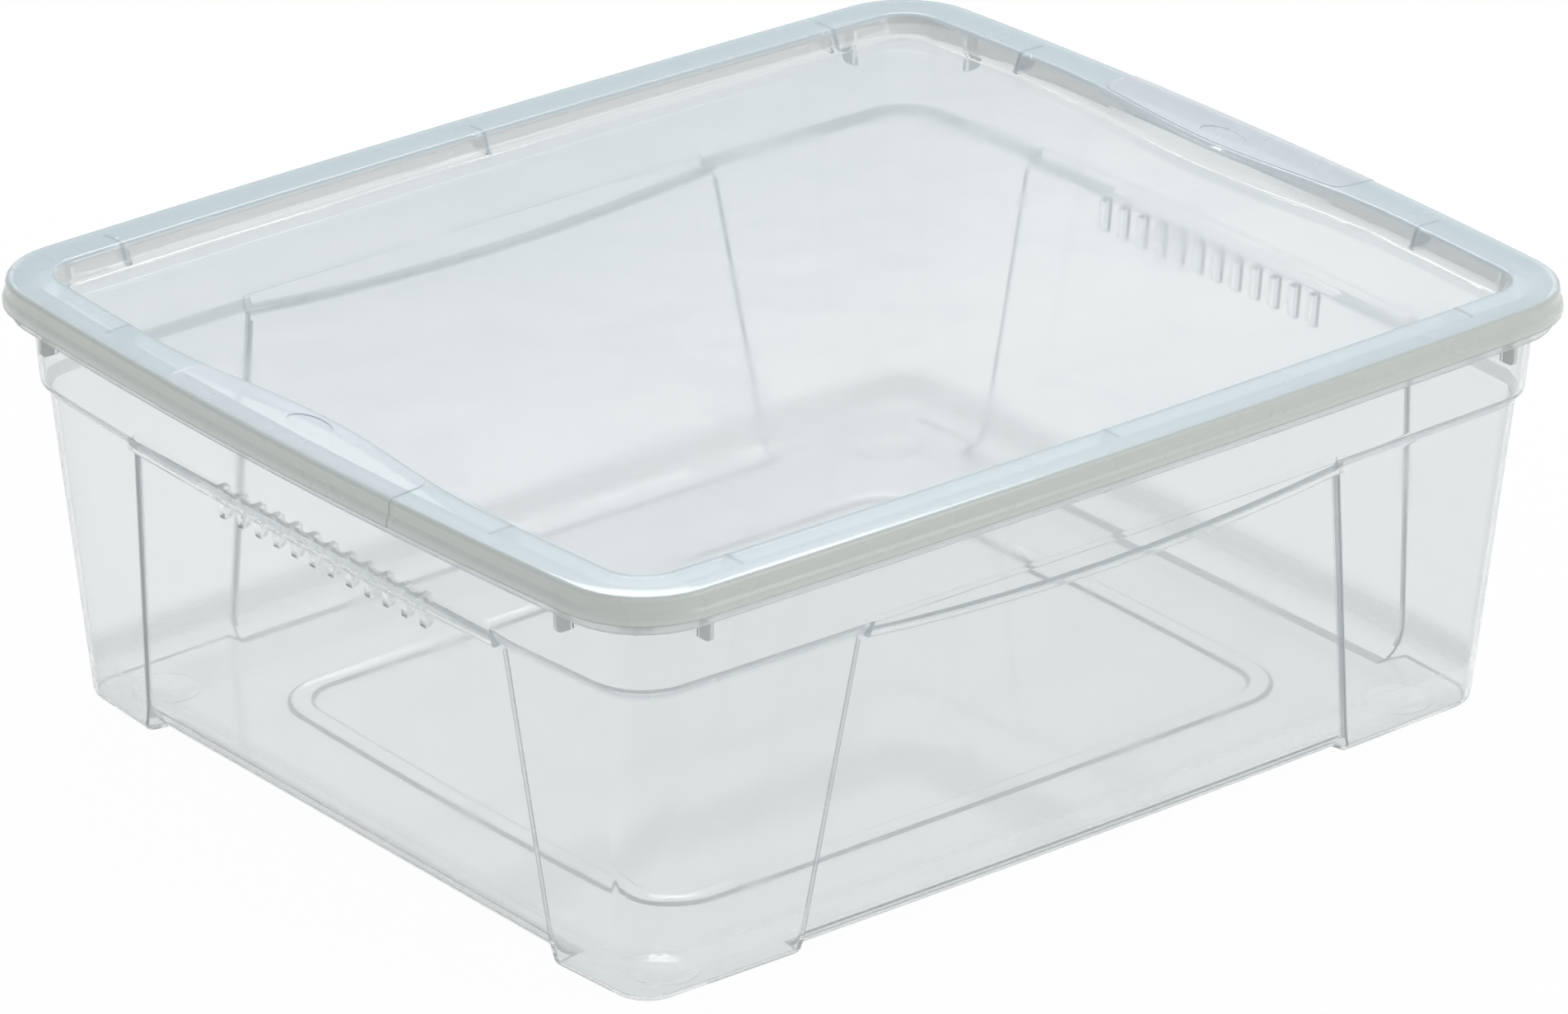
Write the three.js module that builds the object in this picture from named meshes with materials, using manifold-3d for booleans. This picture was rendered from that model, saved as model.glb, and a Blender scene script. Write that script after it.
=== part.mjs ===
// Clear storage box with a lift-off lid.
// Two thin-walled mouldings: a drafted box with recessed side panels between its corner posts, and a lid
// whose rim caps the box's rim and whose recessed panel takes the floor of the next box on top.
// Millimetres, +Z up. The origin is on the ground, under the middle of the box.
import * as THREE from 'three';
import { mergeVertices } from 'three/addons/utils/BufferGeometryUtils.js';
import Module from 'manifold-3d';

const wasm = await Module();
wasm.setup();

// Box: outlines
const FLOOR_LENGTH = 354; // outside, at the ground, between the middles of the short sides
const FLOOR_WIDTH = 294; // outside, at the ground, between the middles of the long sides
const FLOOR_CORNER = 12.5; // corner radius at the floor
const SHOULDER_CORNER = 16.5; // corner radius under the shoulder
const LONG_BOW = 6000; // radius of the gentle outward bow of the long sides
const SHORT_BOW = 2000; // radius of the bow of the short sides
const DRAFT = THREE.MathUtils.degToRad(5); // lean of every outer wall

// Box: walls and heights
const WALL = 1.6; // thickness of walls and floor
const FLOOR_LIFT = 0.8; // ground to the underside of the floor, the height of the foot pads
const FLOOR_EDGE = 3; // outside rounding between floor and walls
const SHOULDER_HEIGHT = 106.5; // ground to the underside of the shoulder
const SHOULDER_STEP = 3; // how far the band over the shoulder stands out from the posts
const SHOULDER_RISE = 5; // height of the rounded shoulder
const BAND_HEIGHT = 38.5; // shoulder to rim top

// Box: rim
const FLANGE_WIDTH = 5.3; // band to the outer face of the turned-down lip
const LIP_WALL = 1.4; // thickness of the lip
const LIP_DEPTH = 11.5; // rim top to the bottom of the lip
const RIM_ROUND = 2; // rounding of the rim's outer top edge
const BLADE_WALL = 1.4; // thickness of the stiffening blades under the rim
const BLADE_DROP = 6.5; // how far a blade hangs below the lip
const BLADE_SETBACK = 0.3; // blade's edge behind the lip's outer face
const BLADE_ROUND = 2; // rounding of a blade's lower outer corner
const BLADE_FROM_END = 16; // blade to the end of the floor, along its side

// Box: recessed side panels between the corner posts
const POST_LONG_BASE = 66; // width of a post along the long side at the floor
const POST_LONG_TOP = 91; // the same under the shoulder
const POST_SHORT_BASE = 43; // width of a post along the short side at the floor
const POST_SHORT_TOP = 63.5; // the same under the shoulder
const PANEL_RECESS = 1.2; // depth of a panel behind the edges of its posts
const EDGE_SLOPE = 0.7; // run of a post's edge along its side, per depth of the panel
const LONG_PANEL_FILLET = 9; // outside rounding from a long panel into the floor
const SHORT_PANEL_FILLET = 14; // the same under a short panel
const LONG_LEDGE_SAG = 5; // how far the long sides' ledge dips at its middle
const SHORT_LEDGE_SAG = 0; // the short sides' ledge is level
const LEDGE_CHAMFER = 0.8; // broken lower edge of the ledge

// Box: comb of short fins inside each short side, under the shelf over its ledge
const FIN_COUNT = 12;
const FIN_PITCH = 9.3;
const FIN_WIDTH = 2.9;
const FIN_DEPTH = 3.3; // how far a fin stands in from the panel
const FIN_HEIGHT = 11.1;
const FIN_ROUND = 2.6; // rounding of a fin's lower end
const FIN_SETBACK = 0.2; // top of a fin below the shelf

// Box: floor
const BEAD_FROM_SIDE = 44; // bead's outer edge from the floor's outline
const BEAD_WIDTH = 9;
const BEAD_HEIGHT = 0.8;
const BEAD_BEVEL = 1.5; // slope of the bead's flanks in plan
const BEAD_CORNER = 22; // corner radius of the bead's outer edge
const PAD_RADIUS = 11; // foot pad under each post
const PAD_FROM_END = 27; // foot pad's middle from the floor's end
const PAD_FROM_SIDE = 20; // foot pad's middle from the floor's side
const DIMPLE_RADIUS = 9.5; // hollow over each foot pad, inside the box
const DIMPLE_SLOPE = 3; // how much narrower its bottom is

// Lid
const SEAT_GAP = 0.3; // rim top to the lid's roof
const SKIRT_GAP = 0.4; // lip to the inside of the skirt
const RIB_GAP = 0.5; // inside of the box to the lid's locating ribs
const LID_WALL = 1.5; // thickness of panel and rim
const SKIRT_WALL = 1.4; // thickness of the skirt
const SKIRT_DEPTH = 9.4; // rim top to the skirt's lower edge
const FLARE_OUT = 1.1; // how far the lower part of the skirt stands out
const FLARE_DEPTH = 5; // rim top to the start of the flare
const FLARE_HEIGHT = 2.4; // height of the flare's curve
const CAP_ROUND = 1.6; // rounding of the rim's outer top edge
const RIM_FALL = 0.6; // fall of the rim's crowned top towards its outer edge
const ROOF_FALL = 0.15; // the same under the rim
const ROOF_CHAMFER = 1.2; // broken inner corner between roof and skirt
const LID_RIM_WIDTH = 17.3; // skirt to the inner edge of the rim
const RIM_INNER_ROUND = 1.6; // rounding of the rim's inner edge
const RECESS_DEPTH = 7; // rim top to the panel
const RECESS_LEAN = 1.3; // lean of the recess wall over its height
const RECESS_FILLET = 2.6; // fillet between recess wall and panel
const BULGE = 7; // how far the rim widens inwards behind each grip plate
const BULGE_REACH = 82; // half the length of that widening
const RIB_WALL = 1.2; // thickness of the lid's locating ribs
const RIB_CHAMFER = 2; // lead-in at a rib's lower outer corner
const LONG_RIB_FROM_END = 33; // outer ribs of the long sides, from the floor's end
const SHORT_RIB_FROM_SIDE = 50; // ribs of the short sides, from the floor's side

// Lid: grip plate in the middle of each short side
const PLATE_HALF = 58; // half its length along the side
const PLATE_RISE = 0.3; // how far it stands proud of rim and skirt
const PLATE_CORNER = 5; // rounding of its inner corners
const PLATE_BITE = 0.5; // how deep it is merged into the rim
const OVAL_LENGTH = 20; // plain oval pressed into the plate
const OVAL_WIDTH = 10;
const OVAL_DEPTH = 0.5;
const OVAL_FROM_EDGE = 15.7; // oval's middle from the skirt

// Fineness of the faceting
const CORNER_STEPS = 8; // facets of a corner arc
const LONG_STEPS = 8; // facets of a long side
const BOX_SHORT_STEPS = 10; // facets of a short side of the box
const LID_SHORT_STEPS = 18; // facets of a short side of the lid, which carries the bulge
const ROUND_STEPS = 3; // facets of a small rounding
const CROWN_STEPS = 3; // facets across the rim's crowned top
const LEDGE_STEPS = 10; // facets along a ledge
const FILLET_STEPS = 5; // facets of a panel's lower rounding
const PAD_STEPS = 24; // facets of a foot pad
const OVERLAP = 0.5; // how deep joined solids reach into each other
const CLEAR = 40; // how far cutting solids reach past what they cut

// Sizes that follow from the driving ones
const LEAN = Math.tan(DRAFT);
const BOX_HEIGHT = SHOULDER_HEIGHT + BAND_HEIGHT;
const BAND_START = SHOULDER_HEIGHT + SHOULDER_RISE;
const LIP_OUT = bandOut(BOX_HEIGHT) + FLANGE_WIDTH; // offsets "out" are from the outline under the shoulder
const CAP_OUT = LIP_OUT + SKIRT_GAP + SKIRT_WALL;
const SKIRT_OUT = CAP_OUT + FLARE_OUT;
const RIM_IN = SKIRT_OUT - LID_RIM_WIDTH;
const CROWN_OUT = CAP_OUT - CAP_ROUND;
const CROWN_TILT = Math.atan((2 * RIM_FALL) / (CROWN_OUT - RIM_IN - RIM_INNER_ROUND));
const EDGE_TURN = Math.tan(Math.atan(1 / EDGE_SLOPE) / 2); // shift of the edge's inner face, per wall
const ROOF = BOX_HEIGHT + SEAT_GAP;
const LID_TOP = ROOF + LID_WALL;
const SKIRT_BOTTOM = LID_TOP - SKIRT_DEPTH;
const PANEL_TOP = LID_TOP - RECESS_DEPTH;
const PANEL_UNDER = PANEL_TOP - LID_WALL;
const FLOOR_TOP = FLOOR_LIFT + WALL;

const FLOOR_OUTLINE = { halfLength: FLOOR_LENGTH / 2, halfWidth: FLOOR_WIDTH / 2, corner: FLOOR_CORNER };
const SHOULDER_OUTLINE = {
  halfLength: FLOOR_LENGTH / 2 + SHOULDER_HEIGHT * LEAN,
  halfWidth: FLOOR_WIDTH / 2 + SHOULDER_HEIGHT * LEAN,
  corner: SHOULDER_CORNER,
};

// The four sides, each turned into place from one that faces -Y. "along" runs along the side, "out" is the
// distance from the middle of the box.
const LONG = {
  half: FLOOR_WIDTH / 2,
  end: FLOOR_LENGTH / 2,
  bow: LONG_BOW,
  panelBase: FLOOR_LENGTH / 2 - POST_LONG_BASE,
  panelTop: FLOOR_LENGTH / 2 + SHOULDER_HEIGHT * LEAN - POST_LONG_TOP,
  panelBow: LONG_BOW,
  sag: LONG_LEDGE_SAG,
  fillet: LONG_PANEL_FILLET,
  ribs: [LONG_RIB_FROM_END - FLOOR_LENGTH / 2, 0, FLOOR_LENGTH / 2 - LONG_RIB_FROM_END],
  bulge: 0,
};
const SHORT = {
  half: FLOOR_LENGTH / 2,
  end: FLOOR_WIDTH / 2,
  bow: SHORT_BOW,
  panelBase: FLOOR_WIDTH / 2 - POST_SHORT_BASE,
  panelTop: FLOOR_WIDTH / 2 + SHOULDER_HEIGHT * LEAN - POST_SHORT_TOP,
  panelBow: Infinity,
  sag: SHORT_LEDGE_SAG,
  fillet: SHORT_PANEL_FILLET,
  ribs: [SHORT_RIB_FROM_SIDE - FLOOR_WIDTH / 2, FLOOR_WIDTH / 2 - SHORT_RIB_FROM_SIDE],
  bulge: BULGE,
};
const LONG_SIDES = [0, Math.PI].map((turn) => ({ ...LONG, turn }));
const SHORT_SIDES = [-Math.PI / 2, Math.PI / 2].map((turn) => ({ ...SHORT, turn }));
const SIDES = [...LONG_SIDES, ...SHORT_SIDES];

/** Offset of the band's outer face from the outline under the shoulder, at a height over the shoulder. */
function bandOut(height) {
  return SHOULDER_STEP + (height - BAND_START) * LEAN;
}

/** Fractions from 0 to 1 in equal steps, both ends included. */
function fractions(steps) {
  return Array.from({ length: steps + 1 }, (_, index) => index / steps);
}

/** Points of a quarter round or other arc, as [a, b] pairs, from one angle to another. */
function arc(centreA, centreB, radius, from, to, steps = ROUND_STEPS) {
  return fractions(steps).map((share) => {
    const angle = from + (to - from) * share;
    return [centreA + radius * Math.cos(angle), centreB + radius * Math.sin(angle)];
  });
}

/** Closed outline with bowed sides and round corners, all arcs tangent, moved outwards by an offset. */
function bowedOutline(shape, offset, shortSteps) {
  const cornerRadius = shape.corner + offset;
  const longCentre = shape.halfWidth - LONG_BOW;
  const shortCentre = shape.halfLength - SHORT_BOW;
  const toLong = LONG_BOW - shape.corner;
  const toShort = SHORT_BOW - shape.corner;
  const between = Math.hypot(shortCentre, longCentre);
  const reach = (toLong ** 2 - toShort ** 2 + between ** 2) / (2 * between);
  const rise = Math.sqrt(toLong ** 2 - reach ** 2);
  const cornerX = (reach * shortCentre - rise * longCentre) / between;
  const cornerY = longCentre - (reach * longCentre) / between - (rise * shortCentre) / between;
  const shortAngle = Math.atan2(cornerY, cornerX - shortCentre);
  const longAngle = Math.atan2(cornerY - longCentre, cornerX);
  const corner = arc(cornerX, cornerY, cornerRadius, shortAngle, longAngle, CORNER_STEPS);
  const half = [
    ...arc(shortCentre, 0, SHORT_BOW + offset, -shortAngle, shortAngle, shortSteps),
    ...corner.slice(1),
    ...arc(0, longCentre, LONG_BOW + offset, longAngle, Math.PI - longAngle, LONG_STEPS).slice(1),
    ...corner.slice(1, -1).toReversed().map(([x, y]) => [-x, y]),
  ];
  return [...half, ...half.map(([x, y]) => [-x, -y])];
}

/** A level ring of an outline, ready for a loft. */
function boxRing(shape, offset, height) {
  return bowedOutline(shape, offset, BOX_SHORT_STEPS).map(([x, y]) => new THREE.Vector3(x, y, height));
}

/** How far the lid's rim widens inwards at a distance from the middle of a side. */
function bulge(side, along) {
  const share = Math.min(Math.abs(along) / BULGE_REACH, 1);
  return (side.bulge * (1 + Math.cos(Math.PI * share))) / 2;
}

/** A level ring of the lid; a share of 1 follows the bulge behind the grip plates, 0 ignores it. */
function lidRing(out, height, share) {
  const outline = bowedOutline(SHOULDER_OUTLINE, out, LID_SHORT_STEPS);
  const straight = SHOULDER_OUTLINE.halfLength - SHOULDER_OUTLINE.corner - BULGE;
  return outline.map(([x, y]) => {
    const shift = Math.abs(x) > straight ? share * bulge(SHORT, y) : 0;
    return new THREE.Vector3(x - Math.sign(x) * shift, y, height);
  });
}

/** Triangles that close a ring, facing along the ring's own turning sense. */
function capTriangles(ring) {
  const normal = new THREE.Vector3();
  ring.forEach((point, index) => {
    normal.add(new THREE.Vector3().crossVectors(point, ring[(index + 1) % ring.length]));
  });
  const frame = new THREE.Quaternion().setFromUnitVectors(normal.normalize(), new THREE.Vector3(0, 0, 1));
  const flat = ring.map((point) => point.clone().applyQuaternion(frame));
  return THREE.ShapeUtils.triangulateShape(flat.map((point) => new THREE.Vector2(point.x, point.y)), []);
}

/** Closed skin through a row of rings of equally many points; a looped row joins its end to its start. */
function loft(rings, looped = false) {
  const count = rings[0].length;
  const positions = rings.flat().flatMap((point) => point.toArray());
  const triangles = [];
  const spans = looped ? rings.length : rings.length - 1;
  for (let span = 0; span < spans; span += 1) {
    const lower = span * count;
    const upper = ((span + 1) % rings.length) * count;
    for (let index = 0; index < count; index += 1) {
      const next = (index + 1) % count;
      triangles.push([lower + index, lower + next, upper + next]);
      triangles.push([lower + index, upper + next, upper + index]);
    }
  }
  if (!looped) {
    const last = (rings.length - 1) * count;
    capTriangles(rings[0]).forEach(([a, b, c]) => triangles.push([a, c, b]));
    capTriangles(rings.at(-1)).forEach(([a, b, c]) => triangles.push([last + a, last + b, last + c]));
  }
  const geometry = new THREE.BufferGeometry();
  geometry.setAttribute('position', new THREE.Float32BufferAttribute(positions, 3));
  geometry.setIndex(triangles.flat());
  return solid(geometry);
}

/** A closed three.js geometry as a solid that can be joined and cut. */
function solid(geometry) {
  const bare = geometry.clone();
  bare.deleteAttribute('normal');
  bare.deleteAttribute('uv');
  const merged = mergeVertices(bare);
  const vertProperties = new Float32Array(merged.getAttribute('position').array);
  const triVerts = new Uint32Array(merged.getIndex().array);
  if (signedVolume(vertProperties, triVerts) < 0) {
    triVerts.reverse();
  }
  return new wasm.Manifold(new wasm.Mesh({ numProp: 3, vertProperties, triVerts }));
}

/** Six times the volume that a mesh encloses, negative where its faces point inwards. */
function signedVolume(points, triangles) {
  const corner = (index) => new THREE.Vector3().fromArray(points, 3 * triangles[index]);
  let total = 0;
  for (let index = 0; index < triangles.length; index += 3) {
    total += corner(index).dot(corner(index + 1).cross(corner(index + 2)));
  }
  return total;
}

/** All solids of a list joined into one. */
function join(solids) {
  return solids.reduce((whole, piece) => whole.add(piece));
}

/** A place on a side, given along it, out from the middle of the box, and up. */
function onSide(side, along, out, height) {
  return new THREE.Vector3(along, -out, height).applyAxisAngle(new THREE.Vector3(0, 0, 1), side.turn);
}

/** An outline in out and up, given a thickness along its side. */
function plate(side, outline, along, thickness) {
  return loft([along - thickness / 2, along + thickness / 2].map((place) => (
    outline.map(([out, height]) => onSide(side, place, out, height))
  )));
}

/** Half the width of a panel at a height: it narrows as its posts widen upwards. */
function panelHalf(side, height) {
  return side.panelBase + ((side.panelTop - side.panelBase) * height) / SHOULDER_HEIGHT;
}

/** How far a side's bow falls back at a distance from its middle. */
function bowBack(side, along) {
  return along ** 2 / (2 * side.bow);
}

/** Outer face of a recessed panel: drafted, set back from the edges of its posts, bowed or flat. */
function panelFace(side, along, height) {
  const crown = (side.panelTop ** 2 - along ** 2) / (2 * side.panelBow);
  return side.half + height * LEAN - bowBack(side, side.panelTop) + crown - PANEL_RECESS;
}

/** Outer face of the band carried down to a ledge. */
function bandFace(side, along, height) {
  return side.half + height * LEAN + SHOULDER_STEP - bowBack(side, along);
}

/** Height of a ledge at a share of its half length. */
function ledgeHeight(side, share) {
  return SHOULDER_HEIGHT - side.sag * (1 - share ** 2);
}

/** Rows of sections along a panel, from one post to the other, widened as a whole and point by point. */
function alongPanel(side, widened, section) {
  return loft(fractions(LEDGE_STEPS).map((fraction) => {
    const share = 2 * fraction - 1;
    return section(share).map(([out, height, spread = 0]) => (
      onSide(side, share * (panelHalf(side, height) + widened + spread), out, height)
    ));
  }));
}

/** The band carried down between two posts to the ledge over a panel. */
function apron(side, inset) {
  return alongPanel(side, -inset, (share) => {
    const low = ledgeHeight(side, share) + inset;
    const along = share * panelHalf(side, low);
    const inside = panelFace(side, along, low) - inset - WALL;
    const face = (height) => bandFace(side, share * panelHalf(side, height), height) - inset;
    return [
      [inside, low],
      [face(low) - LEDGE_CHAMFER, low],
      [face(low), low + LEDGE_CHAMFER],
      [face(BAND_START), BAND_START + inset],
      [inside, BAND_START + inset],
    ];
  });
}

/** What is taken away outside a panel, below its ledge, and under the rounding into the floor. */
function panelCut(side, inset) {
  const round = side.fillet - inset;
  const middle = FLOOR_LIFT + side.fillet;
  const beyond = side.half + CLEAR;
  return alongPanel(side, inset * EDGE_TURN, (share) => {
    const along = share * panelHalf(side, middle);
    const face = (height) => panelFace(side, along, height) - inset;
    const ledge = ledgeHeight(side, share) + inset;
    return [
      ...[-CLEAR, ledge].map((height) => [beyond, height, EDGE_SLOPE * (beyond - face(height))]),
      [face(ledge), ledge],
      ...arc(face(middle) - round, middle, round, 0, -Math.PI / 2, FILLET_STEPS),
      [face(middle) - round, -CLEAR],
    ];
  });
}

/** Places of the fins along a short side. */
function finPlaces() {
  return fractions(FIN_COUNT - 1).map((share) => (share - 0.5) * (FIN_COUNT - 1) * FIN_PITCH);
}

/** One fin inside a short side, from the shelf over its ledge down to a rounded lower end. */
function fin(side, along) {
  const top = SHOULDER_HEIGHT - side.sag + WALL - FIN_SETBACK;
  const low = top - FIN_HEIGHT;
  const wall = (height) => panelFace(side, along, height) - WALL;
  const outline = [
    [wall(top) - FIN_DEPTH, top],
    ...arc(wall(low) - FIN_DEPTH + FIN_ROUND, low + FIN_ROUND, FIN_ROUND, Math.PI, 1.5 * Math.PI),
    [wall(low) + OVERLAP, low],
    [wall(top) + OVERLAP, top],
  ];
  return plate(side, outline, along, FIN_WIDTH);
}

/** Blade that stiffens the rim beside a corner. */
function blade(side, along) {
  const flange = BOX_HEIGHT - WALL;
  const low = BOX_HEIGHT - LIP_DEPTH - BLADE_DROP;
  const shoulder = side.half + SHOULDER_HEIGHT * LEAN - bowBack(side, along);
  const tip = shoulder + LIP_OUT - BLADE_SETBACK;
  const outline = [
    [shoulder + bandOut(low) - OVERLAP, low],
    ...arc(tip - BLADE_ROUND, low + BLADE_ROUND, BLADE_ROUND, -Math.PI / 2, 0),
    [tip, flange + OVERLAP],
    [shoulder + bandOut(flange) - OVERLAP, flange + OVERLAP],
  ];
  return plate(side, outline, along, BLADE_WALL);
}

/** Rings of the rounded shoulder, from the posts out to the band. */
function shoulderRings(inset) {
  const lift = inset / 2;
  return fractions(2 * ROUND_STEPS).map((share) => {
    const out = (SHOULDER_STEP * (1 - Math.cos(Math.PI * share))) / 2;
    return boxRing(SHOULDER_OUTLINE, out - inset, SHOULDER_HEIGHT + lift + SHOULDER_RISE * share);
  });
}

/** Rings of the floor's rounded edge. */
function floorRings(inset) {
  const round = FLOOR_EDGE - inset;
  const low = FLOOR_LIFT + inset;
  return arc(-round, low + round, round, -Math.PI / 2, 0).map(([out, height]) => (
    boxRing(FLOOR_OUTLINE, out - inset + height * LEAN, height)
  ));
}

/** Outside of the box with its turned-down rim, before the panels are cut. */
function boxOutside() {
  const lipLow = BOX_HEIGHT - LIP_DEPTH;
  const flangeLow = BOX_HEIGHT - WALL;
  const ring = (out, height) => boxRing(SHOULDER_OUTLINE, out, height);
  const rimEdge = arc(LIP_OUT - RIM_ROUND, BOX_HEIGHT - RIM_ROUND, RIM_ROUND, 0, Math.PI / 2);
  return loft([
    ...floorRings(0),
    ...shoulderRings(0),
    ring(bandOut(flangeLow), flangeLow),
    ring(LIP_OUT - LIP_WALL, flangeLow),
    ring(LIP_OUT - LIP_WALL, lipLow),
    ring(LIP_OUT, lipLow),
    ...rimEdge.map(([out, height]) => ring(out, height)),
  ]);
}

/** Inside of the box, open at the top, before the panels are set in. */
function boxInside() {
  const above = BOX_HEIGHT + CLEAR;
  return loft([
    ...floorRings(WALL),
    ...shoulderRings(WALL),
    boxRing(SHOULDER_OUTLINE, bandOut(above) - WALL, above),
  ]);
}

/** Low bead on the floor, a rounded rectangle within the corner posts. */
function floorBead() {
  const shape = {
    halfLength: FLOOR_LENGTH / 2 - BEAD_FROM_SIDE,
    halfWidth: FLOOR_WIDTH / 2 - BEAD_FROM_SIDE,
    corner: BEAD_CORNER,
  };
  const top = FLOOR_TOP + BEAD_HEIGHT;
  const section = [
    [0, FLOOR_TOP - OVERLAP],
    [0, FLOOR_TOP],
    [-BEAD_BEVEL, top],
    [BEAD_BEVEL - BEAD_WIDTH, top],
    [-BEAD_WIDTH, FLOOR_TOP],
    [-BEAD_WIDTH, FLOOR_TOP - OVERLAP],
  ];
  return loft(section.map(([out, height]) => boxRing(shape, out, height)), true);
}

/** Upright round solid in each corner of the floor, for the foot pads and the hollows over them. */
function cornerRounds(topRadius, bottomRadius, low, high) {
  const round = new THREE.CylinderGeometry(topRadius, bottomRadius, high - low, PAD_STEPS);
  round.rotateX(Math.PI / 2);
  const x = FLOOR_LENGTH / 2 - PAD_FROM_END;
  const y = FLOOR_WIDTH / 2 - PAD_FROM_SIDE;
  return join([[x, y], [-x, y], [-x, -y], [x, -y]].map(([left, front]) => (
    solid(round.clone().translate(left, front, (low + high) / 2))
  )));
}

/** The box: its outside less its inside, each with the same panels and ledges, then its fins and bead. */
function makeBox() {
  const bladePlaces = (side) => [-1, 1].map((end) => end * (side.end - BLADE_FROM_END));
  const fins = SHORT_SIDES.flatMap((side) => finPlaces().map((place) => fin(side, place)));
  const outside = join([boxOutside(), ...SIDES.map((side) => apron(side, 0))])
    .subtract(join(SIDES.map((side) => panelCut(side, 0))))
    .add(join(SIDES.flatMap((side) => bladePlaces(side).map((place) => blade(side, place)))))
    .add(cornerRounds(PAD_RADIUS, PAD_RADIUS, 0, FLOOR_LIFT + OVERLAP));
  const dimpleLow = FLOOR_TOP - FLOOR_LIFT;
  const inside = join([boxInside(), ...SIDES.map((side) => apron(side, WALL))])
    .subtract(join(SIDES.map((side) => panelCut(side, WALL))))
    .add(cornerRounds(DIMPLE_RADIUS, DIMPLE_RADIUS - DIMPLE_SLOPE, dimpleLow, FLOOR_TOP));
  return join([outside.subtract(inside), floorBead(), ...fins]);
}

/** The skirt's flare, from its foot up to the plain wall over it, moved outwards, in some steps. */
function flare(offset, steps) {
  const low = LID_TOP - FLARE_DEPTH - FLARE_HEIGHT;
  return fractions(steps).map((share) => [
    CAP_OUT + offset + (FLARE_OUT * (1 + Math.cos(Math.PI * share))) / 2,
    low + FLARE_HEIGHT * share,
  ]);
}

/** Outer face of the skirt and the rounded edge over it, moved outwards by an offset. */
function skirtFace(offset) {
  const middle = LID_TOP - RIM_FALL - CAP_ROUND;
  const round = arc(CROWN_OUT, middle, CAP_ROUND + offset, 0, Math.PI / 2 - CROWN_TILT);
  return [[SKIRT_OUT + offset, SKIRT_BOTTOM], ...flare(offset, ROUND_STEPS), ...round];
}

/** The rim's crowned top, raised, from its outer rounding to an inner edge: out, height and share. */
function rimTop(inner, raised) {
  return fractions(CROWN_STEPS).slice(1, -1).map((share) => [
    THREE.MathUtils.lerp(CROWN_OUT, inner, share),
    LID_TOP + raised - RIM_FALL * (1 - share) ** 2,
    share,
  ]);
}

/** Skin of the lid: under the panel and the rim, round the skirt, over the rim and down into the recess. */
function lidShell() {
  const capIn = CAP_OUT - SKIRT_WALL;
  const roofLow = ROOF - ROOF_FALL;
  const filletOut = RIM_IN - RECESS_LEAN - RECESS_FILLET;
  const filletUp = PANEL_TOP + RECESS_FILLET;
  const thickFillet = RECESS_FILLET + LID_WALL;
  const rimEdge = [RIM_IN + RIM_INNER_ROUND, LID_TOP - RIM_INNER_ROUND];
  const bulged = (points) => points.map(([out, height]) => lidRing(out, height, 1));
  const plain = (points) => points.map(([out, height]) => lidRing(out, height, 0));
  return loft([
    ...bulged(arc(filletOut, filletUp, thickFillet, -Math.PI / 2, 0)),
    ...bulged([[RIM_IN + LID_WALL, ROOF]]),
    ...plain([[capIn - ROOF_CHAMFER, roofLow], [capIn, roofLow - ROOF_CHAMFER]]),
    ...plain(flare(-SKIRT_WALL, 1).toReversed()),
    ...plain([[SKIRT_OUT - SKIRT_WALL, SKIRT_BOTTOM]]),
    ...plain(skirtFace(0)),
    ...rimTop(rimEdge[0], 0).map(([out, height, share]) => lidRing(out, height, share)),
    ...bulged(arc(...rimEdge, RIM_INNER_ROUND, Math.PI / 2, Math.PI)),
    ...bulged(arc(filletOut, filletUp, RECESS_FILLET, 0, -Math.PI / 2)),
  ]);
}

/** Rib under the lid's rim that keeps the lid central in the mouth of the box. */
function lidRib(side, along) {
  const shoulder = side.half + SHOULDER_HEIGHT * LEAN - bowBack(side, along);
  const low = PANEL_UNDER + OVERLAP;
  const inner = shoulder + RIM_IN - RECESS_LEAN - bulge(side, along);
  const outer = shoulder + bandOut(low) - WALL - RIB_GAP;
  const outline = [
    [inner, low],
    [outer - RIB_CHAMFER, low],
    [outer, low + RIB_CHAMFER],
    [outer, ROOF + OVERLAP],
    [inner + RECESS_LEAN + OVERLAP, ROOF + OVERLAP],
  ];
  return plate(side, outline, along, RIB_WALL);
}

/** Flat grip plate over the rim and skirt at the middle of a short side. */
function gripPlate(side) {
  const shoulder = side.half + SHOULDER_HEIGHT * LEAN;
  const start = PLATE_HALF - PLATE_CORNER;
  const turns = arc(start, 0, PLATE_CORNER, Math.PI / 2, 0).slice(1).map(([place]) => place);
  const straight = fractions(LEDGE_STEPS).map((share) => (2 * share - 1) * start);
  const places = [...turns.map((place) => -place).toReversed(), ...straight, ...turns];
  return loft(places.map((place) => {
    const past = Math.max(Math.abs(place) - start, 0);
    const rounding = PLATE_CORNER - Math.sqrt(PLATE_CORNER ** 2 - past ** 2);
    const middle = shoulder - bowBack(side, place);
    const inner = RIM_IN - bulge(side, place) + RIM_INNER_ROUND + rounding;
    const section = [
      ...skirtFace(PLATE_RISE),
      ...rimTop(inner, PLATE_RISE).map(([out, height]) => [out, height]),
      [inner + PLATE_RISE, LID_TOP + PLATE_RISE],
      [inner, LID_TOP - PLATE_BITE],
      ...skirtFace(-PLATE_BITE).toReversed(),
    ];
    return section.map(([out, height]) => onSide(side, place, middle + out, height));
  }));
}

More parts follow.
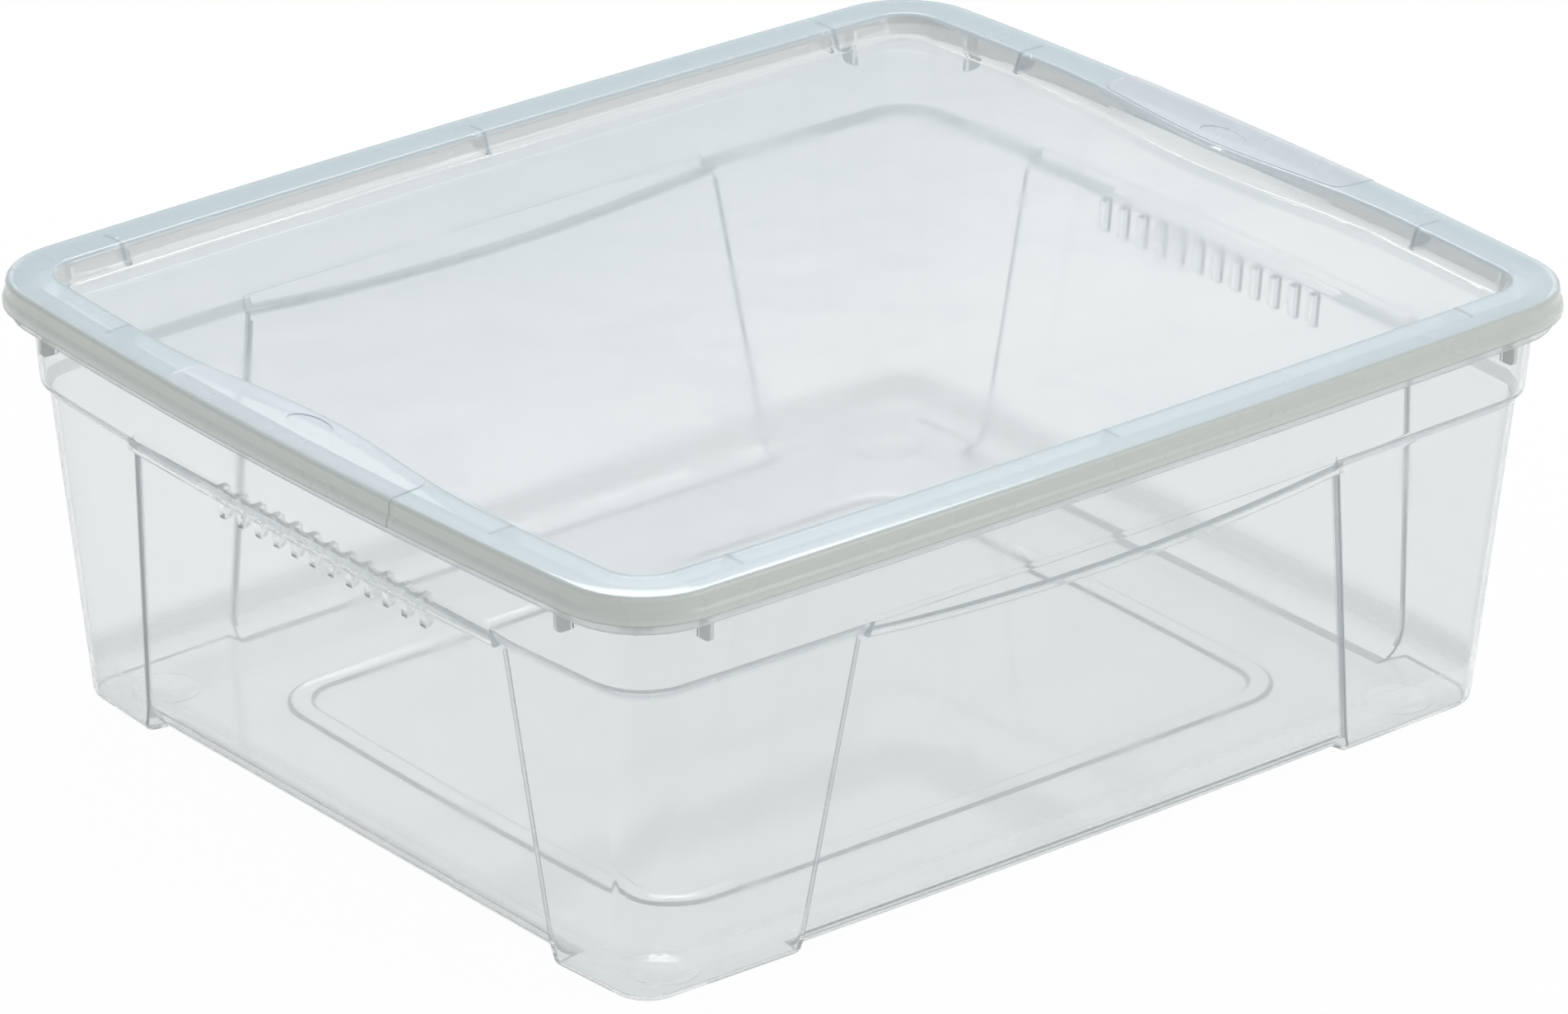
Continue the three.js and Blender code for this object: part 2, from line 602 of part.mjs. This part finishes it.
/** Shallow plain oval pressed into a grip plate. */
function plateOval(side) {
  const middle = side.half + SHOULDER_HEIGHT * LEAN + SKIRT_OUT - OVAL_FROM_EDGE;
  const floor = LID_TOP + PLATE_RISE - OVAL_DEPTH;
  return loft([floor, floor + CLEAR].map((height) => fractions(PAD_STEPS).slice(1).map((share) => {
    const angle = 2 * Math.PI * share;
    const along = (OVAL_LENGTH / 2) * Math.cos(angle);
    return onSide(side, along, middle + (OVAL_WIDTH / 2) * Math.sin(angle), height);
  })));
}

/** The lid: its skin with locating ribs and grip plates. */
function makeLid() {
  const ribs = SIDES.flatMap((side) => side.ribs.map((place) => lidRib(side, place)));
  return join([lidShell(), ...ribs, ...SHORT_SIDES.map(gripPlate)])
    .subtract(join(SHORT_SIDES.map(plateOval)));
}

/** A finished solid as a named mesh. */
function mesh(name, finished, material) {
  const { vertProperties, triVerts } = finished.getMesh();
  const geometry = new THREE.BufferGeometry();
  geometry.setAttribute('position', new THREE.BufferAttribute(vertProperties, 3));
  geometry.setIndex(new THREE.BufferAttribute(triVerts, 1));
  geometry.computeVertexNormals();
  const piece = new THREE.Mesh(geometry, material);
  piece.name = name;
  return piece;
}

const clearPlastic = { roughness: 0.12, metalness: 0, transparent: true, opacity: 0.4 };
const boxPlastic = new THREE.MeshStandardMaterial({ color: 0xe9eef0, ...clearPlastic });
const lidPlastic = new THREE.MeshStandardMaterial({ color: 0xdfe6e9, ...clearPlastic });

const storageBox = new THREE.Group();
storageBox.add(mesh('box', makeBox(), boxPlastic));
storageBox.add(mesh('lid', makeLid(), lidPlastic));

export default storageBox;
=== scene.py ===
"""Clear storage box with a lift-off lid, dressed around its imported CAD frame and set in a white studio."""

import logging
import math
from dataclasses import dataclass
from enum import Enum
from typing import Any

import bpy
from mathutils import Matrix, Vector


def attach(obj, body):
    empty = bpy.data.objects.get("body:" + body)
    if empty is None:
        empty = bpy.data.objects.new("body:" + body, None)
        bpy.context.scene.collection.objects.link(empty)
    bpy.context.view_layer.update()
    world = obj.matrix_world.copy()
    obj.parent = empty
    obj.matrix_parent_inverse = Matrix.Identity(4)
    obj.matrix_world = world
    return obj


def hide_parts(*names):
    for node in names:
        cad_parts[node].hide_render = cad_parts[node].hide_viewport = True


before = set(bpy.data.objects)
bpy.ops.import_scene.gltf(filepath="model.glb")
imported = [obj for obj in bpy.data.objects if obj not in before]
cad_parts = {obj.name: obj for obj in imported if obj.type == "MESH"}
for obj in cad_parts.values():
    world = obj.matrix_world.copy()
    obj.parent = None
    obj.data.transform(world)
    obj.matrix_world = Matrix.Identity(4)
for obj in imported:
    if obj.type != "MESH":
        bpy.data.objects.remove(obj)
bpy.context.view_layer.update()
MILLIMETRE = 0.001
FAR = 1.0  # metres, further than the object reaches

log = logging.getLogger("storage_box")

Colour = tuple[float, float, float]
Point = tuple[float, float, float]
Span = tuple[float, float]

WHITE: Colour = (1.0, 1.0, 1.0)


def mm(size: float) -> float:
    """A size in millimetres, as metres."""
    return size * MILLIMETRE


def solid(colour: Colour) -> tuple[float, float, float, float]:
    """A colour as a shader's socket takes it."""
    return (*colour, 1.0)


class Body(Enum):
    """The two bodies of the object, as the frame names them."""

    BOX = "box"
    LID = "lid"


class Side(Enum):
    """The two pairs of sides."""

    LONG = "long"
    SHORT = "short"


class Field:
    """A shader socket that takes part in Python arithmetic."""

    def __init__(self, graph: "Graph", socket: bpy.types.NodeSocket | None) -> None:
        """Wrap one output socket of a graph, or none of an end node."""
        self.graph = graph
        self.socket = socket

    def _math(self, operation: str, first: Any, second: Any) -> "Field":
        """Add a Math node.

        Args:
            operation: Name of the Math node's operation.
            first: Value or link of the first input.
            second: Value or link of the second input.

        Returns:
            The node's result.
        """
        return self.graph.add("ShaderNodeMath", {"operation": operation}, {0: first, 1: second})

    def __add__(self, other: Any) -> "Field":
        """Sum of two fields, or of a field and a number."""
        return self._math("ADD", self, other)

    __radd__ = __add__

    def __sub__(self, other: Any) -> "Field":
        """This field less another."""
        return self._math("SUBTRACT", self, other)

    def __rsub__(self, other: Any) -> "Field":
        """A number less this field."""
        return self._math("SUBTRACT", other, self)

    def __mul__(self, other: Any) -> "Field":
        """Product of two fields, or of a field and a number."""
        return self._math("MULTIPLY", self, other)

    __rmul__ = __mul__

    def __pow__(self, power: float) -> "Field":
        """This field raised to a power."""
        return self._math("POWER", self, power)

    def size(self) -> "Field":
        """This field without its sign."""
        return self._math("ABSOLUTE", self, 0.0)

    def lowest(self, other: Any) -> "Field":
        """The lesser of this field and another."""
        return self._math("MINIMUM", self, other)

    def highest(self, other: Any) -> "Field":
        """The greater of this field and another."""
        return self._math("MAXIMUM", self, other)

    def ramp(self, low: float, high: float, to_low: float = 0.0, to_high: float = 1.0) -> "Field":
        """Map a range of this field smoothly on another range.

        Args:
            low: Start of the range.
            high: End of the range.
            to_low: Result at the start.
            to_high: Result at the end.

        Returns:
            The mapped field, held at its ends.
        """
        settings = {"interpolation_type": "SMOOTHSTEP"}
        links = {"Value": self, "From Min": low, "From Max": high, "To Min": to_low, "To Max": to_high}
        return self.graph.add("ShaderNodeMapRange", settings, links)


class Graph:
    """The node tree of a material or of the world."""

    MIX_SHARE = 0  # numbers of the Mix node's sockets that serve colours
    MIX_COLOURS = (6, 7)
    MIX_RESULT = 2

    def __init__(self, tree: bpy.types.NodeTree) -> None:
        """Take over a tree and empty it."""
        tree.nodes.clear()
        self.tree = tree
        self.axes: tuple[Field, Field, Field] | None = None

    def add(self, kind: str, settings: dict[str, Any], links: dict[Any, Any], output: Any = 0) -> Field:
        """Add a node.

        Args:
            kind: Blender's type name of the node.
            settings: Attributes of the node, set before its sockets.
            links: Values, or fields to link, by the socket's name or number.
            output: Name or number of the socket to return.

        Returns:
            The asked output as a field.
        """
        node = self.tree.nodes.new(kind)
        for name, setting in settings.items():
            setattr(node, name, setting)
        for socket, content in links.items():
            if isinstance(content, Field):
                self.tree.links.new(content.socket, node.inputs[socket])
            else:
                node.inputs[socket].default_value = content
        return Field(self, node.outputs[output]) if node.outputs else Field(self, None)

    def mix(self, share: Field, first: Field | Colour, second: Field | Colour) -> Field:
        """Mix two colours.

        Args:
            share: Share of the second colour.
            first: First colour.
            second: Second colour.

        Returns:
            The mixed colour.
        """
        sides = [side if isinstance(side, Field) else solid(side) for side in (first, second)]
        links = dict(zip((self.MIX_SHARE, *self.MIX_COLOURS), (share, *sides)))
        return self.add("ShaderNodeMix", {"data_type": "RGBA"}, links, self.MIX_RESULT)

    def split(self, vector: Field) -> tuple[Field, Field, Field]:
        """The three parts of a vector."""
        x, y, z = (self.add("ShaderNodeSeparateXYZ", {}, {"Vector": vector}, axis) for axis in "XYZ")
        return x, y, z

    def place(self) -> tuple[Field, Field, Field]:
        """The shaded point's place on its piece, as three fields."""
        if self.axes is None:
            self.axes = self.split(self.add("ShaderNodeTexCoord", {}, {}, "Object"))
        return self.axes

    def noise(self, scale: float, detail: float) -> Field:
        """Cloudy noise on the piece's own coordinates.

        Args:
            scale: Number of clouds per metre.
            detail: Number of finer octaves.

        Returns:
            The noise, from 0 to 1.
        """
        place = self.add("ShaderNodeTexCoord", {}, {}, "Object")
        return self.add("ShaderNodeTexNoise", {}, {"Vector": place, "Scale": scale, "Detail": detail})


@dataclass(frozen=True)
class Outline:
    """The lid's outer edge in plan: a rectangle with gently bowed sides and round corners."""

    half_length: float = mm(200.4)
    half_width: float = mm(170.4)
    corner: float = mm(30.6)
    long_bow: float = mm(6000)
    short_bow: float = mm(2000)

    def depth(self, graph: Graph) -> Field:
        """Distance of the shaded point inside the edge.

        Args:
            graph: Graph that the distance goes into.

        Returns:
            Metres in from the edge, negative outside it.
        """
        x, y, _ = graph.place()
        along = x.size() + y * y * (0.5 / self.short_bow) - (self.half_length - self.corner)
        across = y.size() + x * x * (0.5 / self.long_bow) - (self.half_width - self.corner)
        round_part = (along.highest(0.0) ** 2 + across.highest(0.0) ** 2) ** 0.5
        return self.corner - round_part - along.highest(across).lowest(0.0)


@dataclass(frozen=True)
class Zone:
    """A part of a moulding, told by its place, with a haze and a colour; some zones' colours are painted light,
    and some are painted shade.

    It reaches from the outline in to its depth, between its heights, and along the short sides as far as within.
    """

    haze: float
    milk: Colour
    heights: Span
    depth: float = FAR
    within: float = FAR
    blend: float = mm(0.3)
    fade: float = mm(0.3)

    def mask(self, graph: Graph, depth: Field) -> Field:
        """Mask of the zone.

        Args:
            graph: Graph that the mask goes into.
            depth: The shaded point's distance inside the outline.

        Returns:
            1 in the zone and 0 outside it.
        """
        _, y, z = graph.place()
        low, high = self.heights
        near_edge = depth.ramp(self.depth - self.blend, self.depth, 1.0, 0.0)
        sides = near_edge * y.size().ramp(self.within, self.within + self.fade, 1.0, 0.0)
        return sides * z.ramp(low, low + self.fade) * z.ramp(high, high + self.fade, 1.0, 0.0)


@dataclass(frozen=True)
class Seam:
    """A line down both sides of a pair, where the wall turns or carries a rib.

    It starts at a distance from the side's middle, at the ground, and leans in by a share of its height.
    """

    side: Side
    milk: Colour
    start: float
    walls: Span
    heights: Span
    lean: float = 0.0
    strength: float = 1.0
    half_width: float = mm(0.6)
    blend: float = mm(0.35)

    def mask(self, graph: Graph) -> Field:
        """Mask of the line.

        Args:
            graph: Graph that the mask goes into.

        Returns:
            The line's strength on it, and 0 beside it.
        """
        x, y, z = graph.place()
        along, across = (x, y) if self.side is Side.LONG else (y, x)
        low, high = self.heights
        inner, outer = self.walls
        off_line = (along.size() + z * self.lean - self.start).size()
        line = off_line.ramp(self.half_width, self.half_width + self.blend, self.strength, 0.0)
        inside = across.size().ramp(outer, outer + self.blend, 1.0, 0.0)
        on_wall = line * inside * across.size().ramp(inner, inner + self.blend)
        return on_wall * z.ramp(low, low + self.blend) * z.ramp(high, high + self.blend, 1.0, 0.0)


@dataclass(frozen=True)
class ClearPlastic:
    """Clear polypropylene: a milky haze in a glassy wall, with flow clouds, ripples and smudges.

    The haze grows at grazing angles, in the zones, and along bends and seams; in several zones, at the bends and
    at the post edges its colour is painted light and painted shade. Where a ray meets a wall's skin
    from inside the plastic, the haze is a translucent glow, so that no light stays caught in the wall.
    """

    name: str
    tint: Colour
    milk: Colour
    haze: float
    inner_haze: float
    zones: tuple[Zone, ...]
    seams: tuple[Seam, ...]
    outline: Outline = Outline()
    glow: Colour = (0.92, 0.94, 0.95)
    bend_mark: str = "bend"
    bend_haze: float = 0.45
    # painted shade: grey of the bend lines, in place of the light the clear wall bends at its turns
    painted_bend_grey: Colour = (0.74, 0.80, 0.83)
    satin: float = 0.22
    edge_blend: float = 0.5
    edge_haze: float = 0.5
    edge_power: float = 4.0
    cloud_scale: float = 7.0
    cloud_detail: float = 3.0
    cloud_range: Span = (0.3, 0.7)
    cloud_share: float = 0.5
    gloss: float = 0.03
    smudged: float = 0.1
    smudge_scale: float = 26.0
    smudge_detail: float = 5.0
    smudge_range: Span = (0.45, 0.75)
    ripple_scale: float = 34.0
    ripple_detail: float = 1.0
    ripple_depth: float = mm(0.04)
    ior: float = 1.49

    def material(self) -> bpy.types.Material:
        """Make the material.

        Returns:
            A new material with this finish.
        """
        material = bpy.data.materials.new(self.name)
        material.use_nodes = True
        graph = Graph(material.node_tree)
        haze, colour, bend = self.milk_and_painted_light(graph)
        behind = graph.add("ShaderNodeNewGeometry", {}, {}, "Backfacing")
        slant = graph.add("ShaderNodeLayerWeight", {}, {"Blend": self.edge_blend}, "Facing")
        haze = haze + slant ** self.edge_power * self.edge_haze * (1.0 - haze)
        share = haze + behind * (self.inner_haze - haze)
        share = share + bend * (self.bend_haze - share)
        glass, milk = self.skins(graph, colour)
        glow = graph.add("ShaderNodeBsdfTranslucent", {}, {"Color": solid(self.glow)})
        hazy = graph.add("ShaderNodeMixShader", {}, {0: behind, 1: milk, 2: glow})
        wall = graph.add("ShaderNodeMixShader", {}, {0: share, 1: glass, 2: hazy})
        graph.add("ShaderNodeOutputMaterial", {}, {"Surface": wall})
        return material

    def milk_and_painted_light(self, graph: Graph) -> tuple[Field, Field, Field]:
        """Lay out the haze over the piece, and its colour, which is painted light and shade in several zones and
        on the bend and post-edge lines.

        Args:
            graph: Graph that the fields go into.

        Returns:
            The haze, its colour, and the strength of bends and seams.
        """
        spread = (1.0 - self.cloud_share, 1.0 + self.cloud_share)
        clouds = graph.noise(self.cloud_scale, self.cloud_detail).ramp(*self.cloud_range, *spread)
        haze: Field = clouds * self.haze
        colour: Field | Colour = self.milk
        depth = self.outline.depth(graph)
        # several zones paint light and shade into the milk colour: see the zone tables
        for zone in self.zones:
            mask = zone.mask(graph, depth)
            haze = haze + mask * (zone.haze - haze)
            colour = graph.mix(mask, colour, zone.milk)
        bend = graph.add("ShaderNodeAttribute", {"attribute_name": self.bend_mark}, {}, "Fac")
        # the bend lines are painted shade, grey in place of the light bent at the walls' turns
        colour = graph.mix(bend, colour, self.painted_bend_grey)
        for seam in self.seams:
            mask = seam.mask(graph)
            bend = bend.highest(mask)
            colour = graph.mix(mask, colour, seam.milk)
        return haze, colour, bend

    def skins(self, graph: Graph, colour: Field) -> tuple[Field, Field]:
        """Make the wall's two skins, with the same ripples and smudges.

        Args:
            graph: Graph that the shaders go into.
            colour: Colour of the milky skin.

        Returns:
            The glassy skin and the milky skin.
        """
        smudges = graph.noise(self.smudge_scale, self.smudge_detail).ramp(*self.smudge_range)
        roughness = smudges * (self.smudged - self.gloss) + self.gloss
        ripples = graph.add("ShaderNodeBump", {}, {
            "Strength": 1.0,
            "Distance": self.ripple_depth,
            "Height": graph.noise(self.ripple_scale, self.ripple_detail),
        })
        look = {"IOR": self.ior, "Normal": ripples}
        glass = graph.add("ShaderNodeBsdfPrincipled", {}, {
            "Base Color": solid(self.tint),
            "Transmission Weight": 1.0,
            "Roughness": roughness,
            **look,
        })
        milk = graph.add("ShaderNodeBsdfPrincipled", {}, {
            "Base Color": colour,
            "Roughness": roughness + self.satin,
            **look,
        })
        return glass, milk


@dataclass(frozen=True)
class Bends:
    """Where the box's side walls turn; the marked faces are painted as soft grey lines, a painted shade in place
    of the grey that clear plastic shows there.
    """

    corner_along: float = mm(156)
    corner_across: float = mm(126)
    heights: Span = (mm(16), mm(131))
    comb_half: float = mm(57)
    comb_foot: float = mm(95)
    turned: float = math.cos(math.radians(20))
    rise: float = 0.3

    def strength(self, face: bpy.types.MeshPolygon) -> float:
        """Tell whether a face is part of a bend.

        Args:
            face: Face to look at.

        Returns:
            1 on a bend and 0 on a plain wall, on the comb, and below or above the walls.
        """
        low, high = self.heights
        if not low < face.center.z < high:
            return 0.0
        past_end = abs(face.center.x) > self.corner_along
        past_side = abs(face.center.y) > self.corner_across
        if past_end and past_side:
            return float(abs(face.normal.z) > self.rise)
        if past_end and abs(face.center.y) < self.comb_half and face.center.z > self.comb_foot:
            return 0.0
        facing = face.normal.x if past_end else face.normal.y
        return float(abs(facing) < self.turned)


@dataclass
class Moulding:
    """One moulded piece: a smooth copy of its CAD node."""

    node: str
    body: Body
    slot: str
    name: str
    finish: ClearPlastic
    crease: float
    bends: Bends | None = None
    weld: float = mm(0.002)

    def build(self) -> bpy.types.Object:
        """Make the piece, dress it and let it ride on its body.

        Returns:
            The finished piece.
        """
        piece = bpy.data.objects.new(self.name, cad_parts[self.node].data.copy())
        bpy.context.scene.collection.objects.link(piece)
        self.smooth(piece)
        if self.bends:
            self.mark_bends(piece, self.bends)
        piece.data.materials.clear()
        piece.data.materials.append(self.finish.material())
        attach(piece, self.body.value)
        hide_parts(self.node)
        log.info("%s: %d faces", piece.name, len(piece.data.polygons))
        return piece

    def mark_bends(self, piece: bpy.types.Object, bends: Bends) -> None:
        """Mark the faces where the walls turn.

        Args:
            piece: Piece to mark.
            bends: Where its walls turn.
        """
        marks = piece.data.attributes.new(self.finish.bend_mark, "FLOAT", "FACE")
        for face, mark in zip(piece.data.polygons, marks.data):
            mark.value = bends.strength(face)

    def smooth(self, piece: bpy.types.Object) -> None:
        """Weld the loose triangles and shade them smooth between the creases.

        Args:
            piece: Piece to smooth.
        """
        bpy.ops.object.select_all(action="DESELECT")
        piece.select_set(True)
        bpy.context.view_layer.objects.active = piece
        bpy.ops.mesh.customdata_custom_splitnormals_clear()
        bpy.ops.object.mode_set(mode="EDIT")
        bpy.ops.mesh.select_all(action="SELECT")
        bpy.ops.mesh.remove_doubles(threshold=self.weld)
        bpy.ops.object.mode_set(mode="OBJECT")
        bpy.ops.object.shade_smooth_by_angle(angle=self.crease)
        even = piece.modifiers.new("even shading", "WEIGHTED_NORMAL")
        even.keep_sharp = True
        bpy.ops.object.modifier_apply(modifier=even.name)


@dataclass(frozen=True)
class Softbox:
    """A square soft lamp turned to the box."""

    name: str
    place: Point
    size: float
    power: float

    def build(self) -> None:
        """Hang the lamp."""
        light = bpy.data.lights.new(self.name, "AREA")
        light.shape = "SQUARE"
        light.size = self.size
        light.energy = self.power
        lamp = bpy.data.objects.new(self.name, light)
        bpy.context.scene.collection.objects.link(lamp)
        lamp.location = self.place
        lamp.rotation_euler = (-Vector(self.place)).to_track_quat("-Z", "Y").to_euler()


@dataclass
class Studio:
    """White floor, soft light and the photograph's camera."""

    floor_size: float = 30.0
    floor_grey: Colour = (0.9, 0.9, 0.9)
    floor_white: float = 0.97
    floor_through: float = 0.94
    dome_low: float = 0.25
    dome_high: float = 0.75
    dome_grey: Colour = (0.8, 0.82, 0.85)
    wall_grey: Colour = (0.45, 0.5, 0.53)
    wall_lean: Point = (0.017, -0.545, 0.911)
    wall_edge: Span = (-0.045, -0.010)
    fill: Colour = (0.78, 0.79, 0.8)
    key: Softbox = Softbox("key", place=(1.178, 1.451, 1.946), size=0.75, power=14.0)
    side: Softbox = Softbox("side", place=(1.3, -2.3, 1.6), size=1.2, power=14.0)
    camera_place: Point = (-1.7628, -2.1602, 1.3285)
    camera_azimuth: float = math.radians(-39.077)
    camera_elevation: float = math.radians(24.348)
    camera_lens: float = 221.27
    camera_sensor: float = 36.0
    camera_shift: float = 0.01487
    through_walls: int = 40

    def build(self) -> None:
        """Set up floor, world, lamps and camera."""
        self.floor()
        self.world()
        self.key.build()
        self.side.build()
        self.camera()
        scene = bpy.context.scene
        scene.view_settings.view_transform = "Standard"
        scene.cycles.max_bounces = self.through_walls
        scene.cycles.transmission_bounces = self.through_walls

    def seen(self, graph: Graph) -> Field:
        """Mask of the rays that look at the background, straight, mirrored or through a wall.

        Args:
            graph: Graph that the mask goes into.

        Returns:
            1 on such rays and 0 on the others.
        """
        mask: Any = 0.0
        for ray in ("Is Camera Ray", "Is Glossy Ray", "Is Transmission Ray"):
            found = graph.add("ShaderNodeLightPath", {}, {}, ray)
            mask = found.highest(mask)
        scattered = graph.add("ShaderNodeLightPath", {}, {}, "Diffuse Depth")
        return mask * (1.0 - scattered.lowest(1.0))

    def floor(self) -> None:
        """Lay the floor."""
        bpy.ops.object.select_all(action="DESELECT")
        bpy.ops.mesh.primitive_plane_add(size=self.floor_size)
        floor = bpy.context.active_object
        floor.name = "studio_floor"
        material = bpy.data.materials.new("studio_white")
        material.use_nodes = True
        graph = Graph(material.node_tree)
        lit = graph.add("ShaderNodeBsdfDiffuse", {}, {"Color": solid(self.floor_grey)})
        white = graph.add("ShaderNodeEmission", {}, {"Color": solid(WHITE), "Strength": 1.0})
        camera = graph.add("ShaderNodeLightPath", {}, {}, "Is Camera Ray")
        share = self.seen(graph) * camera.ramp(0.0, 1.0, self.floor_through, self.floor_white)
        both = graph.add("ShaderNodeMixShader", {}, {0: share, 1: lit, 2: white})
        graph.add("ShaderNodeOutputMaterial", {}, {"Surface": both})
        floor.data.materials.append(material)

    def world(self) -> None:
        """Hang a white horizon under a grey dome with a darker wall at the back; the camera sees plain white."""
        world = bpy.data.worlds.new("studio")
        bpy.context.scene.world = world
        world.use_nodes = True
        graph = Graph(world.node_tree)
        direction = graph.add("ShaderNodeTexCoord", {}, {}, "Generated")
        x, y, z = graph.split(direction)
        dome = graph.mix(z.ramp(self.dome_low, self.dome_high), WHITE, self.dome_grey)
        lean_x, lean_y, lean_z = self.wall_lean
        above = x * lean_x + y * lean_y + z * lean_z
        dome = graph.mix(above.ramp(*self.wall_edge), self.wall_grey, dome)
        camera = graph.add("ShaderNodeLightPath", {}, {}, "Is Camera Ray")
        shown = graph.mix(camera, dome, WHITE)
        colour = graph.mix(self.seen(graph), self.fill, shown)
        background = graph.add("ShaderNodeBackground", {}, {"Color": colour, "Strength": 1.0})
        graph.add("ShaderNodeOutputWorld", {}, {"Surface": background})

    def camera(self) -> None:
        """Place the photograph's camera."""
        lens = bpy.data.cameras.new("camera")
        lens.sensor_fit = "HORIZONTAL"
        lens.sensor_width = self.camera_sensor
        lens.lens = self.camera_lens
        lens.shift_x = self.camera_shift
        camera = bpy.data.objects.new("camera", lens)
        bpy.context.scene.collection.objects.link(camera)
        camera.location = self.camera_place
        camera.rotation_euler = (math.pi / 2 - self.camera_elevation, 0.0, self.camera_azimuth)
        bpy.context.scene.camera = camera


# painted shade: grey of the lines at the post edges, in place of the light the clear wall bends where it steps
POST_EDGE: Colour = (0.50, 0.54, 0.56)
RIB_MARK: Colour = (0.50, 0.58, 0.62)

BOX_ZONES = (
    # underside of the rim, with its lip
    Zone(0.45, (0.60, 0.63, 0.62), heights=(mm(120), FAR), depth=mm(8.5)),
    # blades below the lip
    Zone(0.8, (0.56, 0.58, 0.56), heights=(mm(120), mm(133.5)), depth=mm(8.5)),
    # floor
    Zone(0.12, (0.52, 0.62, 0.67), heights=(-FAR, mm(6)), fade=mm(2)),
    # foot of the walls
    Zone(0.4, (0.88, 0.89, 0.88), heights=(mm(4), mm(14)), fade=mm(8)),
    # flanks of the floor's bead: painted light, a near-white milk that stands in for the light passing through
    # them
    Zone(0.8, (0.95, 0.965, 0.97), heights=(mm(2.45), mm(3.1)), fade=mm(0.05)),
)
LID_ZONES = (
    # recess wall: painted light, a pale milk that lightens the wall where it faces away from the key lamp
    Zone(0.5, (0.90, 0.92, 0.92), heights=(mm(140.2), FAR), depth=mm(24), blend=mm(4)),
    # crowned top of the rim: the thick rim's denser milk, made lighter and bluer as painted light on the
    # upward-facing top
    Zone(0.65, (0.68, 0.80, 0.85), heights=(mm(145.6), FAR), depth=mm(24), blend=mm(4)),
    # grip plates
    Zone(0.6, (0.78, 0.85, 0.89), heights=(mm(144.6), FAR), depth=mm(26), within=mm(58)),
    # skirt: the skirt's denser milk, made darker and warmer as painted shade on its sideways face
    Zone(0.85, (0.56, 0.595, 0.56), heights=(0.0, mm(145.9)), depth=mm(3)),
    # flare of the skirt: painted shade, darker to cancel the band that the lamps light from above
    Zone(0.85, (0.535, 0.57, 0.535), heights=(mm(138.8), mm(141.2)), depth=mm(2.2), fade=mm(0.8)),
    # lower edge of the skirt: painted shade, a dark line for the gap between the skirt and the box's lip
    Zone(0.9, (0.38, 0.40, 0.38), heights=(0.0, mm(137.5)), depth=mm(2.2)),
)
BOX_SEAMS = (
    # edges of the posts: painted shade, grey lines in place of the grey that clear plastic shows where the wall
    # steps
    Seam(Side.LONG, POST_EDGE, mm(111.4), walls=(mm(140), FAR), heights=(mm(6), mm(105)), lean=0.1473,
         strength=1.5, half_width=mm(0.7)),
    Seam(Side.SHORT, POST_EDGE, mm(104.4), walls=(mm(168), FAR), heights=(mm(6), mm(105)), lean=0.105,
         strength=1.5, half_width=mm(0.7)),
)
LID_SEAMS = (
    # marks of the locating ribs below the rim
    Seam(Side.LONG, RIB_MARK, mm(146), walls=(mm(148), mm(161)), heights=(mm(139.8), FAR)),
    Seam(Side.LONG, RIB_MARK, 0.0, walls=(mm(148), mm(161)), heights=(mm(139.8), FAR)),
    Seam(Side.SHORT, RIB_MARK, mm(97), walls=(mm(178), mm(191)), heights=(mm(139.8), FAR)),
)


@dataclass
class StorageBox:
    """The whole object: the box and its lid."""

    box_finish: ClearPlastic = ClearPlastic(
        "clear_box", tint=(0.962, 0.974, 0.974), milk=(0.60, 0.70, 0.72), haze=0.05, inner_haze=0.14,
        zones=BOX_ZONES, seams=BOX_SEAMS)
    lid_finish: ClearPlastic = ClearPlastic(
        "clear_lid", tint=(0.95, 0.972, 0.98), milk=(0.60, 0.70, 0.74), haze=0.06, inner_haze=0.12,
        zones=LID_ZONES, seams=LID_SEAMS, bend_haze=0.8)
    box_crease: float = math.radians(16)
    lid_crease: float = math.radians(38)

    def build(self) -> None:
        """Make both mouldings."""
        Moulding("box", Body.BOX, "box_plastic", "box_moulding", self.box_finish, self.box_crease, Bends()).build()
        Moulding("lid", Body.LID, "lid_plastic", "lid_moulding", self.lid_finish, self.lid_crease).build()


def main() -> None:
    """Build the object and the studio around it."""
    logging.basicConfig(level=logging.INFO, format="%(name)s %(message)s")
    StorageBox().build()
    Studio().build()


if __name__ == "__main__":
    main()
